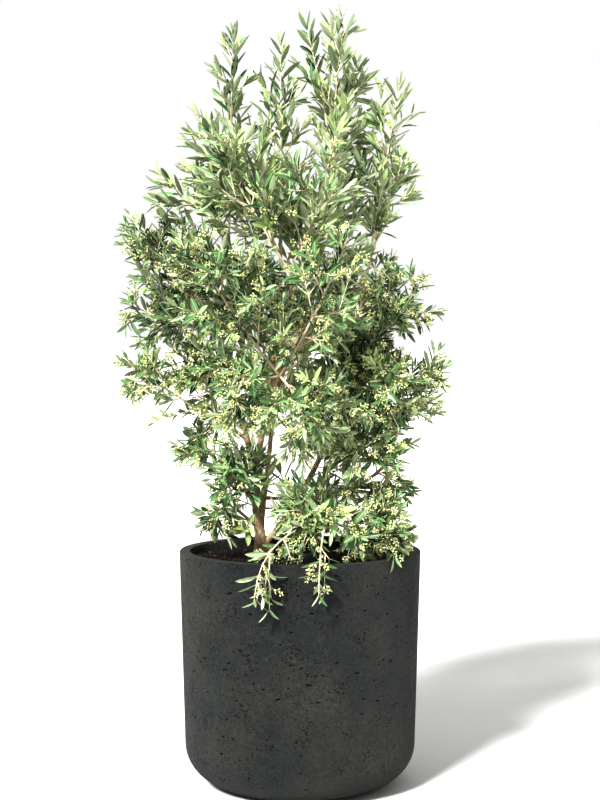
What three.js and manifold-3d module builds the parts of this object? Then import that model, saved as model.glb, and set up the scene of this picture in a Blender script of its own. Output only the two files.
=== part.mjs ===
// A bushy young olive tree (Olea europaea) in a round pot of washed cement, in millimetres, Z up.
// The origin is the middle of the pot's flat underside. X runs right, Y to the back.
import * as THREE from "three";
import { mergeVertices } from "three/addons/utils/BufferGeometryUtils.js";
import Module from "manifold-3d";

const wasm = await Module();
wasm.setup();

// ---------------------------------------------------------------- driving dimensions
const potDiameter = 500;
const potHeight = 487;
const lipWidth = 22;
const soilDrop = 18; // the soil lies this far below the rim
const treeHeight = 1155; // from the soil to the highest tip
const crownReach = 400; // from the pot's axis to the furthest tip, at the left
const clearance = 0.3; // between solids that touch

const soilTop = potHeight - soilDrop;
const up = new THREE.Vector3(0, 0, 1);

// ---------------------------------------------------------------- materials
const finishes = {
  cement: new THREE.MeshStandardMaterial({ color: "#3f4241", roughness: 0.85, metalness: 0 }),
  soil: new THREE.MeshStandardMaterial({ color: "#1d1411", roughness: 1, metalness: 0 }),
  bark: new THREE.MeshStandardMaterial({ color: "#8d7c6b", roughness: 0.85, metalness: 0 }),
  foliage: new THREE.MeshStandardMaterial({ color: "#7c9a6c", roughness: 0.55, metalness: 0 }),
};

// ---------------------------------------------------------------- solids
// A closed geometry as a solid that can be joined and cut.
function solidOf(geometry) {
  geometry.deleteAttribute("normal");
  geometry.deleteAttribute("uv");
  const merged = mergeVertices(geometry, 1e-3);
  return new wasm.Manifold(
    new wasm.Mesh({
      numProp: 3,
      vertProperties: merged.attributes.position.array,
      triVerts: new Uint32Array(merged.index.array),
    }),
  );
}

function geometryOf(solid) {
  const mesh = solid.getMesh();
  return new THREE.BufferGeometry()
    .setAttribute("position", new THREE.BufferAttribute(mesh.vertProperties, 3))
    .setIndex(new THREE.BufferAttribute(mesh.triVerts, 1));
}

function geometryFrom(points, faces) {
  return new THREE.BufferGeometry().setFromPoints(points).setIndex(faces);
}

// The largest piece of a solid, which leaves loose scraps out.
function largestPiece(solid) {
  return solid.decompose().reduce((a, b) => (b.volume() > a.volume() ? b : a));
}

// A tapering tube through the points, with a ring square to its way at each of them.
function tube(points, radii, sides) {
  const last = points.length - 1;
  const chord = points[last].clone().sub(points[0]);
  const level = up.clone().cross(chord);
  if (level.length() < 0.05 * chord.length()) level.set(1, 0, 0);
  const ring = [];
  const faces = [];
  points.forEach((centre, i) => {
    const way = points[Math.min(i + 1, last)].clone().sub(points[Math.max(i - 1, 0)]).normalize();
    const across = level.clone().addScaledVector(way, -level.dot(way)).normalize();
    const over = way.clone().cross(across);
    for (let j = 0; j < sides; j++) {
      const turn = (2 * Math.PI * j) / sides;
      ring.push(
        centre
          .clone()
          .addScaledVector(across, radii[i] * Math.cos(turn))
          .addScaledVector(over, radii[i] * Math.sin(turn)),
      );
      if (i === last) continue;
      const a = i * sides + j;
      const b = i * sides + ((j + 1) % sides);
      faces.push(a, b, b + sides, a, b + sides, a + sides);
    }
  });
  for (let j = 1; j < sides - 1; j++) {
    faces.push(0, j + 1, j);
    faces.push(last * sides, last * sides + j, last * sides + j + 1);
  }
  return solidOf(geometryFrom(ring, faces));
}

// A lance-shaped blade of 6 faces: flat below, with a ridge on its back that is highest near its
// root. grow makes it that much larger all round, to test what it would touch.
function blade({ root, way, face, length, width, thickness }, grow = 0) {
  const side = face.clone().cross(way).normalize();
  const top = way.clone().cross(side).normalize();
  const spot = (along, out, lift) =>
    root.clone().addScaledVector(way, along).addScaledVector(side, out).addScaledVector(top, lift);
  const half = width / 2 + 2 * grow;
  return solidOf(
    geometryFrom(
      [
        spot(-grow, 0, -grow),
        spot(0.42 * length, half, -grow),
        spot(0.42 * length, -half, -grow),
        spot(0.2 * length, 0, thickness + grow),
        spot(length + 3 * grow, 0, -grow),
      ],
      [0, 3, 1, 1, 3, 4, 0, 2, 3, 2, 4, 3, 0, 1, 2, 1, 4, 2],
    ),
  );
}

// ---------------------------------------------------------------- growing
// Numbers from 0 to 1 that come out the same for the same seed.
function seeded(seed) {
  let state = seed >>> 0;
  return () => {
    state = (state + 0x6d2b79f5) >>> 0;
    let t = state;
    t = Math.imul(t ^ (t >>> 15), t | 1);
    t ^= t + Math.imul(t ^ (t >>> 7), t | 61);
    return ((t ^ (t >>> 14)) >>> 0) / 4294967296;
  };
}

// A place in the crown: bearing in degrees (0 right, 90 back, 180 left, 270 front), reach as a share
// of crownReach from the pot's axis, and height as a share of treeHeight above the soil.
function place([bearing, reach, height]) {
  const turn = THREE.MathUtils.degToRad(bearing);
  return new THREE.Vector3(
    Math.cos(turn) * reach * crownReach,
    Math.sin(turn) * reach * crownReach,
    soilTop + height * treeHeight,
  );
}

// The way of a limb or shoot: an arc from start to tip. bow lifts its middle by that share of its
// length, or lets it sag if it is negative, and along says how far out the middle lies.
function arc(start, tip, { bow = 0, along = 0.5 } = {}) {
  const span = tip.clone().sub(start);
  const middle = start.clone();
  middle.x += span.x * along;
  middle.y += span.y * along;
  middle.z += span.z * 0.5 + bow * span.length();
  return new THREE.QuadraticBezierCurve3(start, middle, tip);
}

// The points of an arc with the small crooks that wood has between its ends.
function crooked(curve, steps, crook, random) {
  return curve.getPoints(steps).map((point, i) => {
    const size = i === 0 || i === steps ? 0 : crook;
    const [a, b, c] = [random(), random(), random()];
    return point.add(new THREE.Vector3(a - 0.5, b - 0.5, c - 0.5).multiplyScalar(2 * size));
  });
}

const tapered = (from, to, count) =>
  Array.from({ length: count }, (_, i) => from + ((to - from) * i) / (count - 1));

// ---------------------------------------------------------------- pot and soil
const wall = {
  footRadius: 137, // of the flat underside
  curveOut: 102, // how far the foot's curve comes out, and how high it climbs
  curveUp: 88,
  floor: 26,
  lipEase: 3,
};
const roundSides = 40;

// The pot's inside from its floor's middle to the rim, drawn in by gap.
function insideProfile(gap, topHeight) {
  const points = [new THREE.Vector2(0, wall.floor + gap)];
  const out = wall.curveOut - lipWidth / 2;
  const climb = wall.curveUp - wall.floor;
  const steps = 3;
  for (let i = 0; i <= steps; i++) {
    const turn = (Math.PI / 2) * (i / steps);
    const radius = wall.footRadius - lipWidth / 2 + out * Math.sin(turn) - gap * Math.sin(turn);
    points.push(new THREE.Vector2(radius, wall.floor + gap + (climb - gap) * (1 - Math.cos(turn))));
  }
  const foot = points.at(-1);
  const rimRadius = potDiameter / 2 - lipWidth - gap;
  const share = (topHeight - foot.y) / (potHeight - foot.y);
  points.push(new THREE.Vector2(foot.x + (rimRadius - foot.x) * share, topHeight));
  return points;
}

function potSolid() {
  const steps = 6;
  const profile = [new THREE.Vector2(0, 0)];
  for (let i = 0; i <= steps; i++) {
    const turn = (Math.PI / 2) * (i / steps);
    profile.push(
      new THREE.Vector2(
        wall.footRadius + wall.curveOut * Math.sin(turn),
        wall.curveUp * (1 - Math.cos(turn)),
      ),
    );
  }
  const ease = wall.lipEase;
  const rim = potDiameter / 2;
  profile.push(new THREE.Vector2(rim, potHeight - ease), new THREE.Vector2(rim - ease, potHeight));
  profile.push(new THREE.Vector2(rim - lipWidth + ease, potHeight));
  profile.push(...insideProfile(0, potHeight - ease).reverse());
  return solidOf(new THREE.LatheGeometry(profile, roundSides).rotateX(Math.PI / 2));
}

function soilSolid() {
  const profile = insideProfile(clearance, soilTop);
  profile.push(new THREE.Vector2(0, soilTop));
  return solidOf(new THREE.LatheGeometry(profile, roundSides).rotateX(Math.PI / 2));
}

// ---------------------------------------------------------------- trunk and boughs
const trunkSpec = {
  foot: [169, 0.2, 0],
  fork: [174, 0.24, 0.165],
  footRadius: 12,
  forkRadius: 8.5,
  flare: 11, // how much wider the roots' flare is at the soil
};

// Each bough: its name, the limb it leaves and at what share of that limb's way, where it ends
// (bearing, reach and height), its radius at both ends, and the bend of its arc. It ends where its
// foliage begins.
const boughSpecs = [
  ["left_bough", "trunk", 0.97, [180, 0.41, 0.4], [7, 4], { bow: 0.02 }],
  ["centre_bough", "trunk", 0.99, [172, 0.1, 0.5], [7, 3.8], { bow: -0.03, along: 0.75 }],
  ["right_bough", "trunk", 0.2, [353, 0.3, 0.36], [6.5, 4], { bow: -0.05, along: 0.7 }],
  ["back_bough", "trunk", 0.35, [108, 0.39, 0.38], [6, 3.8], { bow: -0.04, along: 0.6 }],
  ["front_bough", "centre_bough", 0.3, [253, 0.34, 0.33], [5, 3.4], { bow: -0.02, along: 0.6 }],
  ["left_riser", "left_bough", 0.72, [176, 0.37, 0.58], [4.4, 3], {}],
  ["crown_bough", "centre_bough", 0.78, [0, 0.17, 0.68], [4.4, 3.2], { bow: -0.02, along: 0.7 }],
  ["right_riser", "right_bough", 0.75, [8, 0.36, 0.53], [4.4, 3], {}],
  ["back_riser", "back_bough", 0.75, [75, 0.33, 0.53], [4.2, 3], { along: 0.7 }],
  ["front_riser", "front_bough", 0.7, [262, 0.27, 0.5], [4, 3], {}],
  ["far_right_bough", "right_bough", 0.25, [357, 0.45, 0.17], [4.2, 3], { bow: -0.1, along: 0.7 }],
  ["left_arm", "left_bough", 0.22, [187, 0.56, 0.275], [3.6, 2.5], { bow: 0.08 }],
  ["lower_left_bough", "trunk", 0.8, [177, 0.4, 0.18], [3.4, 2.5], { bow: 0.05 }],
  ["low_left_bough", "trunk", 0.4, [190, 0.38, 0.1], [3.2, 2.4], { bow: 0.1 }],
  ["low_right_bough", "right_bough", 0.16, [300, 0.29, 0.08], [3.6, 2.8], { bow: 0.06 }],
  ["low_back_bough", "back_bough", 0.2, [78, 0.36, 0.09], [3.4, 2.5], { bow: 0.06 }],
];
const limbSteps = 5;
const limbSides = 6;
const limbCrook = 2.5;
const limbSeed = 4100;

// Limbs by name: their points, radii, solid, and that solid grown by the clearance.
const limbs = new Map();

function addLimb(name, points, radii, cut) {
  const grownBy = (gap) => tube(points, radii.map((r) => r + gap), limbSides);
  limbs.set(name, { points, radii, solid: largestPiece(cut(tube(points, radii, limbSides))), grownBy });
}

function makeTrunk() {
  const random = seeded(limbSeed);
  const sunk = 20; // grown from below the soil, then cut flat on it
  const foot = place(trunkSpec.foot);
  const curve = arc(foot, place(trunkSpec.fork), { bow: 0.01, along: 0.75 });
  const points = crooked(curve, limbSteps + 2, 1, random);
  points.unshift(foot.clone().addScaledVector(up, -sunk));
  const height = place(trunkSpec.fork).z - soilTop;
  const radii = points.map(({ z }) => {
    const share = Math.max(0, z - soilTop) / height;
    const taper = trunkSpec.footRadius + (trunkSpec.forkRadius - trunkSpec.footRadius) * share;
    return taper + trunkSpec.flare * Math.exp(-share * 9);
  });
  const ground = new THREE.BoxGeometry(potDiameter, potDiameter, 2 * sunk + soilTop);
  ground.translate(0, 0, soilTop + clearance - sunk - soilTop / 2);
  addLimb("trunk", points, radii, (solid) => solid.subtract(solidOf(ground)));
}

// The point at a share of a limb's way.
function onLimb(limb, share) {
  const spot = share * (limb.points.length - 1);
  const before = Math.min(Math.floor(spot), limb.points.length - 2);
  return limb.points[before].clone().lerp(limb.points[before + 1], spot - before);
}

function makeBoughs() {
  boughSpecs.forEach(([name, from, at, end, ends, bend], i) => {
    const random = seeded(limbSeed + 1 + i);
    const curve = arc(onLimb(limbs.get(from), at), place(end), bend);
    const points = crooked(curve, limbSteps, limbCrook, random);
    const radii = tapered(...ends, points.length);
    const earlier = [...limbs.values()].map((limb) => limb.grownBy(clearance));
    addLimb(name, points, radii, (solid) => earlier.reduce((a, b) => a.subtract(b), solid));
  });
}

// ---------------------------------------------------------------- foliage
// Each mass: its name, the limb whose tip it sets out from, where it ends, and its shape. It grows
// along one leader inside an egg-shaped space that is spread that wide to each side. droop turns
// its shoots down, fill is how closely they stand, and buds is the share of its leaf pairs with a
// spray of flower buds. at places its start along the limb instead of at the limb's tip.
const massDefaults = { droop: 0, buds: 0.25, fill: 1 };
const massSpecs = [
  ["top", "crown_bough", [358, 0.2, 1.0], { spread: 92, droop: -0.3, buds: 0 }],
  ["top_left", "crown_bough", [90, 0.02, 0.99],
    { spread: 56, droop: -0.3, buds: 0, fill: 0.6, along: 0.2 }],
  ["top_back", "crown_bough", [38, 0.42, 0.93], { spread: 92, droop: -0.3, buds: 0 }],
  ["left_spire", "left_riser", [177, 0.34, 0.97], { spread: 70, droop: -0.3, buds: 0 }],
  ["middle_spire", "centre_bough", [172, 0.1, 0.95], { spread: 84, droop: -0.3, buds: 0, fill: 0.85 }],
  ["right_spire", "right_riser", [2, 0.53, 0.88], { spread: 84, droop: -0.3, buds: 0 }],
  ["upper_left", "left_riser", [183, 0.78, 0.705], { spread: 96, droop: -0.2, buds: 0.1, fill: 1.4 }],
  ["upper_right", "right_riser", [352, 0.56, 0.74], { spread: 84, droop: -0.2, buds: 0.1 }],
  ["upper_front_left", "front_riser", [212, 0.64, 0.8], { spread: 122, droop: -0.2, buds: 0.1, fill: 0.8 }],
  ["upper_front_right", "front_riser", [300, 0.52, 0.82],
    { spread: 118, droop: -0.2, buds: 0.1, fill: 0.75 }],
  ["upper_back_left", "back_riser", [142, 0.64, 0.8], { spread: 122, droop: -0.2, buds: 0.1, fill: 0.8 }],
  ["upper_back_right", "back_riser", [48, 0.62, 0.79], { spread: 120, droop: -0.2, buds: 0.1, fill: 0.8 }],
  ["core", "centre_bough", [20, 0.12, 0.7], { spread: 104, droop: -0.2, buds: 0, fill: 0.8 }],
  ["left_high", "left_bough", [182, 0.92, 0.645], { spread: 110, droop: -0.1, buds: 0.15, along: 0.65 }],
  ["left", "left_bough", [184, 0.97, 0.47], { spread: 112, buds: 0.15, fill: 1.3, along: 0.65 }],
  ["left_back", "left_bough", [148, 0.86, 0.54], { spread: 130, buds: 0.15, along: 0.6 }],
  ["front_left", "front_bough", [226, 0.84, 0.6], { spread: 140, fill: 0.95, along: 0.65 }],
  ["front_right", "front_bough", [290, 0.78, 0.6], { spread: 140, fill: 0.95, along: 0.65 }],
  ["right", "right_bough", [354, 0.68, 0.53], { spread: 116, along: 0.65 }],
  ["right_low", "right_bough", [345, 0.5, 0.46], { at: 0.6, spread: 116, fill: 1.7, along: 0.5 }],
  ["back_right", "back_bough", [45, 0.78, 0.56], { spread: 136, fill: 0.85, along: 0.65 }],
  ["back_left", "back_bough", [112, 0.8, 0.56], { spread: 136, fill: 1.2, along: 0.65 }],
  ["left_arm", "left_arm", [186, 1.0, 0.37], { spread: 86, droop: 0.05, fill: 1.5, bow: 0.03 }],
  ["left_under", "left_bough", [190, 0.72, 0.4], { at: 0.5, spread: 116, fill: 1.5, along: 0.6 }],
  ["lower_left", "lower_left_bough", [183, 0.66, 0.235], { spread: 114, droop: 0.1, fill: 1.9 }],
  ["lower_front_left", "front_bough", [234, 0.76, 0.3], { spread: 140, fill: 1.4, bow: 0.05 }],
  ["lower_front", "front_bough", [281, 0.74, 0.22],
    { spread: 146, droop: 0.1, buds: 0.3, fill: 1.5, bow: 0.05 }],
  ["lower_right", "far_right_bough", [356, 0.76, 0.4], { spread: 80, fill: 1.4, along: 0.35 }],
  ["lower_right_front", "right_bough", [322, 0.66, 0.22],
    { spread: 136, droop: 0.1, buds: 0.3, fill: 1.5, bow: 0.08 }],
  ["lower_back", "back_bough", [85, 0.78, 0.3], { spread: 140, droop: 0.1, fill: 1.3, bow: 0.05 }],
  ["right_skirt", "far_right_bough", [350, 0.46, 0.08], { spread: 88, droop: 0.1, fill: 1.4, bow: 0.12 }],
  ["front_skirt", "far_right_bough", [287, 0.5, 0.2], { spread: 116, buds: 0.3, fill: 1.5, bow: 0.08 }],
  ["low_left", "low_left_bough", [200, 0.54, 0.055], { spread: 96, droop: 0.1, fill: 2, bow: 0.1 }],
  ["low_right", "low_right_bough", [325, 0.76, 0.04],
    { spread: 120, droop: 0.05, buds: 0.4, fill: 1.7, bow: 0.12 }],
  ["low_front", "low_right_bough", [258, 0.55, 0.1], { spread: 110, buds: 0.3, fill: 1.9, bow: 0.14 }],
  ["spray_left", "low_right_bough", [253, 0.74, -0.065],
    { spread: 76, droop: 0.4, buds: 0.4, fill: 1.4, bow: 0.26, along: 1.08 }],
  ["spray_right", "low_right_bough", [277, 0.74, -0.06],
    { spread: 76, droop: 0.4, buds: 0.4, fill: 1.4, bow: 0.3, along: 1.12 }],
  ["low_back", "low_back_bough", [70, 0.68, 0.045], { spread: 124, droop: 0.15, fill: 1.5, bow: 0.12 }],
  ["by_trunk", "trunk", [207, 0.48, 0.19], { at: 0.62, spread: 112, buds: 0.1, fill: 1.6, bow: 0.05 }],
];

const leaf = { length: 112, width: 38, thickness: 2.8 }; // larger than life: each stands for a few
const budSpray = { length: 44, width: 13, thickness: 9 };
const growth = {
  leaderEnd: 2, // radius of a leader's end
  leaderSteps: 4,
  nodeGap: 74, // between a leader's pairs of twigs
  twigRadii: [2.3, 1.9],
  twigLean: 52, // degrees between a leader and its twigs
  twigLongest: 150,
  twigShortest: 45, // with less room than this a leaf grows in its place
  leafGap: 62, // between a shoot's pairs of leaves
  tipLean: 26, // degrees between a shoot and its leaves, at its tip and further down
  leafLean: 46,
  seed: 7300,
};

const degrees = THREE.MathUtils.degToRad;

// A direction that leans off the way by an angle, at a turn about it.
function leaning(way, turn, angle) {
  const across = Math.abs(way.z) < 0.9 ? up.clone().cross(way) : new THREE.Vector3(1, 0, 0).cross(way);
  across.normalize().applyAxisAngle(way, turn);
  return way.clone().multiplyScalar(Math.cos(angle)).addScaledVector(across, Math.sin(angle)).normalize();
}

// The egg-shaped space of a mass. depth is 0 at its middle and 1 at its surface.
function spaceOf(spread, start, tip) {
  const centre = start.clone().lerp(tip, 0.53);
  const axis = tip.clone().sub(centre);
  const half = axis.length();
  axis.normalize();
  const depth = (point) => {
    const away = point.clone().sub(centre);
    const along = away.dot(axis);
    return Math.sqrt((along / half) ** 2 + Math.max(0, away.lengthSq() - along * along) / spread ** 2);
  };
  return { depth };
}

// How far a shoot can run from a point before it leaves the space.
function roomAlong(space, from, way, most) {
  const step = 6;
  let room = 0;
  while (room < most && space.depth(from.clone().addScaledVector(way, room + step)) < 1) room += step;
  return room;
}

// The shoots, leaves and bud sprays of one mass, as the rule grows them. The leader is the first
// shoot, and its twigs follow in pairs, each pair square to the one before.
function growMass([name, on, end, shape], index) {
  const { spread, droop, buds: budShare, fill, at = 1 } = { ...massDefaults, ...shape };
  const random = seeded(growth.seed + 17 * index);
  const limb = limbs.get(on);
  const start = onLimb(limb, at);
  const tip = place(end);
  const space = spaceOf(spread, start, tip);
  const way = arc(start, tip, shape);
  const bare = way.getLength();
  const stop = Math.max(0.45, 1 - (0.8 * leaf.length) / bare);
  const curve = new THREE.CatmullRomCurve3(
    tapered(0, stop, growth.leaderSteps + 1).map((share) => way.getPoint(share)),
  );
  const length = curve.getLength();
  const leader = { curve, points: curve.getPoints(growth.leaderSteps), length, turn: random() * Math.PI };
  leader.radii = tapered(at < 1 ? 3 : limb.radii.at(-1), growth.leaderEnd, leader.points.length);
  const twigs = [];
  const nodes = Math.max(2, Math.round((0.86 * length * fill) / growth.nodeGap));
  for (let k = 0; k < nodes; k++) {
    const share = 0.12 + (0.8 * (k + 0.5)) / nodes;
    const from = curve.getPointAt(share);
    const ahead = curve.getTangentAt(share);
    for (const side of [0, 1]) {
      const turn = k * 1.57 + side * Math.PI + (random() - 0.5) * 0.9;
      const lean = degrees(growth.twigLean + (random() - 0.5) * 24);
      const out = leaning(ahead, turn, lean).addScaledVector(up, -0.8 * droop).normalize();
      const room = roomAlong(space, from, out, growth.twigLongest + 0.8 * leaf.length);
      const reach = (room - 0.7 * leaf.length) * (0.85 + 0.15 * random());
      const spin = random() * Math.PI;
      const length = Math.max(reach, 0);
      twigs.push({ from, way: out, ahead, length, turn: spin, scale: 0.88 + 0.24 * random() });
    }
  }
  const leaves = [];
  const buds = [];
  const addPair = (shoot, along, k, lean) => {
    const curved = shoot === leader;
    const ahead = curved ? curve.getTangentAt(along / length) : shoot.way;
    const root = curved
      ? curve.getPointAt(along / length)
      : shoot.from.clone().addScaledVector(ahead, along);
    const turn = shoot.turn + k * 1.57;
    const grow = (list, at, angle) => {
      const out = leaning(ahead, at, degrees(angle));
      const face = ahead.clone().addScaledVector(out, -ahead.dot(out)).normalize();
      list.push({ root, way: out, face, scale: 0.88 + 0.24 * random(), shoot });
    };
    for (const side of [0, Math.PI]) grow(leaves, turn + side + (random() - 0.5) * 0.5, lean);
    if (random() < budShare) grow(buds, turn + Math.PI / 2, lean + 12);
  };
  const stunted = twigs.filter((twig) => twig.length < growth.twigShortest);
  for (const { from, way: out, ahead, scale } of stunted) {
    const face = ahead.clone().addScaledVector(out, -ahead.dot(out)).normalize();
    leaves.push({ root: from, way: out, face, scale, shoot: leader });
  }
  const leafGap = growth.leafGap / fill;
  const branches = twigs.filter((twig) => twig.length >= growth.twigShortest);
  for (const shoot of [leader, ...branches]) {
    const pairs = Math.max(1, Math.round((shoot === leader ? 0.8 : 1) * (shoot.length / leafGap)));
    for (let k = 0; k < pairs; k++) {
      const lean = k === 0 ? growth.tipLean : growth.leafLean;
      addPair(shoot, shoot.length - 1 - k * leafGap, k, lean);
    }
  }
  return { name, space, leader, twigs: branches, leaves, buds };
}

// ---------------------------------------------------------------- putting it together
const tree = new THREE.Group();
tree.name = "potted_olive_tree";

function addPart(name, geometry, finish) {
  const mesh = new THREE.Mesh(geometry, finishes[finish]);
  mesh.name = name;
  tree.add(mesh);
}

const pot = potSolid();
const soil = soilSolid();
addPart("pot", geometryOf(pot), "cement");
addPart("soil", geometryOf(soil), "soil");
makeTrunk();
makeBoughs();
for (const [name, limb] of limbs) addPart(name, geometryOf(limb.solid), "bark");

// What foliage may not touch: limbs, pot and soil, each with the box it lies in.
const boxed = (solid) => ({ solid, box: solid.boundingBox() });
const meets = (a, b) => [0, 1, 2].every((k) => a.min[k] <= b.max[k] && b.min[k] <= a.max[k]);
const touches = (solid, others) => {
  const box = solid.boundingBox();
  return others.some((other) => meets(box, other.box) && !solid.intersect(other.solid).isEmpty());
};
const limbGap = 0.8;
const obstacles = [pot, soil, ...[...limbs.values()].map((limb) => limb.grownBy(limbGap))].map(boxed);

const grown = massSpecs.map(growMass);
const spaces = grown.map((mass) => mass.space);

// A point keeps to a mass's space if it lies inside it and no other mass's space claims it more.
function ownedBy(index, point) {
  const own = spaces[index].depth(point);
  return own < 1.05 && spaces.every((space, i) => i === index || own < space.depth(point) + 0.4);
}

const swollen = ({ points, radii }, gap) => tube(points, radii.map((r) => r + gap), 4);
const leaders = grown.map(({ leader }) => leader);
const growGap = 0.5; // kept between masses as they grow
const sizesTried = [1, 0.78, 0.6];
const finished = [];

grown.forEach(({ name, leader, twigs, leaves, buds }, index) => {
  const later = leaders.slice(index + 1).map((other) => boxed(swollen(other, growGap)));
  const others = [...obstacles, ...finished, ...later];
  const kept = [swollen(leader, 0)];
  const shoots = new Map([[leader, boxed(kept[0])]]);
  for (const twig of twigs) {
    const end = twig.from.clone().addScaledVector(twig.way, twig.length);
    if (!ownedBy(index, end)) continue;
    if (touches(tube([twig.from, end], growth.twigRadii.map((r) => r + growGap), 3), others)) continue;
    kept.push(tube([twig.from, end], growth.twigRadii, 3));
    shoots.set(twig, boxed(kept.at(-1)));
  }
  const blades = [];
  const addBlade = ({ root, way, face, scale, shoot }, shape) =>
    shoots.has(shoot) &&
    sizesTried.some((size) => {
      const length = shape.length * scale * size;
      const end = root.clone().addScaledVector(way, length);
      const middle = root.clone().addScaledVector(way, length / 2);
      if (!ownedBy(index, middle) || !ownedBy(index, end)) return false;
      const width = shape.width * scale * Math.sqrt(size);
      const form = { root, way, face, length, width, thickness: shape.thickness };
      if (touches(blade(form, growGap), others)) return false;
      const siblings = [...shoots].filter(([other]) => other !== shoot).map(([, solid]) => solid);
      const clearOfRoot = blade({ ...form, root: root.clone().addScaledVector(way, 3) });
      if (touches(clearOfRoot, [...siblings, ...blades])) return false;
      kept.push(blade(form));
      blades.push(boxed(kept.at(-1)));
      return true;
    });
  for (const one of leaves) addBlade(one, leaf);
  for (const one of buds) addBlade(one, budSpray);
  const cutters = [
    ...[...limbs.values()].map((limb) => limb.grownBy(clearance)),
    ...leaders.slice(0, index).map((other) => swollen(other, clearance)),
  ];
  const solid = largestPiece(wasm.Manifold.union(kept).subtract(wasm.Manifold.union(cutters)));
  finished.push(boxed(solid));
  addPart(`foliage_${name}`, geometryOf(solid), "foliage");
});

export default tree;
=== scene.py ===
# A bushy young olive tree (Olea europaea) in flower bud, in a round pot of dark washed cement.
# It is put together as a grower would: pot, soil, trunk and boughs, twigs, leaves, flower buds.
import math

import bpy
import numpy as np
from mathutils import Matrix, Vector, noise


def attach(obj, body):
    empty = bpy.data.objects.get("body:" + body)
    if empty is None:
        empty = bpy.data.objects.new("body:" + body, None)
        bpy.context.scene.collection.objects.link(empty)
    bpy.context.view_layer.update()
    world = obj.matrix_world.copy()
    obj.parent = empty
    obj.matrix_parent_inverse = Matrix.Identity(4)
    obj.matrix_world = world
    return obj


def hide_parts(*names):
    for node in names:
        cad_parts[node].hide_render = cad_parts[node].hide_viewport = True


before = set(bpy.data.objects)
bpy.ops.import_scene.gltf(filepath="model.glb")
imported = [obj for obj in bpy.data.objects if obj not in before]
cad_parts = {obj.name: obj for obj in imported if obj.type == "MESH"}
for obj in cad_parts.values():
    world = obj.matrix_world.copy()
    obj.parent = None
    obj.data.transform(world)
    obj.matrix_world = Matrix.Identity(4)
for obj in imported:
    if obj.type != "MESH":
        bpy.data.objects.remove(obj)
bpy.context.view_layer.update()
bpy.ops.object.select_all(action="DESELECT")

# ---- Camera, floor and studio light --------------------------------------------------------
# The plant stands on a plain pale floor that runs on without an edge. One broad soft light comes
# from high on the left, in front, and pale surroundings fill the shade. The camera stands at waist
# height, some way off with a longish lens, and looks down a little.
camera_height, camera_distance, camera_dip, lens_length = 0.9173, 3.4, 0.035, 73.75
bpy.ops.object.camera_add(
    location=(0, -camera_distance, camera_height), rotation=(math.pi / 2 - camera_dip, 0, 0)
)
camera = bpy.context.object
camera.name = "camera"
camera.data.lens = lens_length
bpy.context.scene.camera = camera
# A gamma below 1 deepens the middle tones, so the shade inside the crown stays dark in strong light.
bpy.context.scene.view_settings.view_transform = "Standard"
bpy.context.scene.view_settings.gamma = 0.66


def linear(code):
    """An sRGB hex colour as linear red, green, blue and alpha."""
    values = [int(code[i : i + 2], 16) / 255 for i in (1, 3, 5)]
    return [v / 12.92 if v <= 0.04045 else ((v + 0.055) / 1.055) ** 2.4 for v in values] + [1]


def add_node(owner, kind, sockets, **settings):
    """Adds a node with its settings, and its inputs as values or as links from other nodes."""
    node = owner.node_tree.nodes.new(kind)
    for name, value in settings.items():
        setattr(node, name, value)
    for name, value in sockets.items():
        if isinstance(value, bpy.types.NodeSocket):
            owner.node_tree.links.new(value, node.inputs[name])
        else:
            node.inputs[name].default_value = value
    return node


def new_finish(name, colour, roughness, **sockets):
    """A material of one base colour, as a start; its shader is returned with it."""
    finish = bpy.data.materials.new(name)
    finish.use_nodes = True
    shader = finish.node_tree.nodes["Principled BSDF"]
    shader.inputs["Base Color"].default_value = linear(colour)
    shader.inputs["Roughness"].default_value = roughness
    for socket, value in sockets.items():
        shader.inputs[socket.replace("_", " ")].default_value = value
    return finish, shader


# Matte floor paint, rolled on: an even pale grey with hardly any sheen.
floor_width = 400
bpy.ops.mesh.primitive_plane_add(size=floor_width)
floor = bpy.context.object
floor.name = "studio_floor"
floor_paint, _ = new_finish("pale matte floor paint", "#e2e2e0", 0.9, Specular_IOR_Level=0.2)
floor.data.materials.append(floor_paint)

# The surroundings look plain white, and light the plant a little less than that.
surroundings = bpy.data.worlds.new("pale studio surroundings")
surroundings.use_nodes = True
seen = add_node(surroundings, "ShaderNodeLightPath", {}).outputs["Is Camera Ray"]
fill_light, seen_white = 0.95, 1.0
glow = add_node(
    surroundings,
    "ShaderNodeMapRange",
    {"Value": seen, "To Min": fill_light, "To Max": seen_white},
)
sky = surroundings.node_tree.nodes["Background"]
surroundings.node_tree.links.new(glow.outputs[0], sky.inputs["Strength"])
sky.inputs["Color"].default_value = linear("#ffffff")
bpy.context.scene.world = surroundings

towards_light = Vector((-0.5, -0.9, 0.76))
light_width, light_strength = 9, 6.4
light_turn = (-towards_light).to_track_quat("-Z", "Y").to_euler()
bpy.ops.object.light_add(type="SUN", rotation=light_turn)
key_light = bpy.context.object
key_light.name = "broad key light"
key_light.data.angle = math.radians(light_width)
key_light.data.energy = light_strength

# ---- Pot -----------------------------------------------------------------------------------
# A round planter cast in dark cement, whose skin was washed off while fresh, so that air pits
# stand open all over it. Its straight side draws in a little to a rounded foot, and its lip is
# flat.

# Sizes are in millimetres from here on, and MM makes metres of them.
MM = 0.001
foot_radius, curve_out, curve_up, floor_thickness = 137, 102, 88, 26
pot_radius, pot_top, lip_width, lip_ease, lip_inner_ease = 250, 487, 22, 3, 2
pot_sides, side_rings = 176, 24


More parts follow.
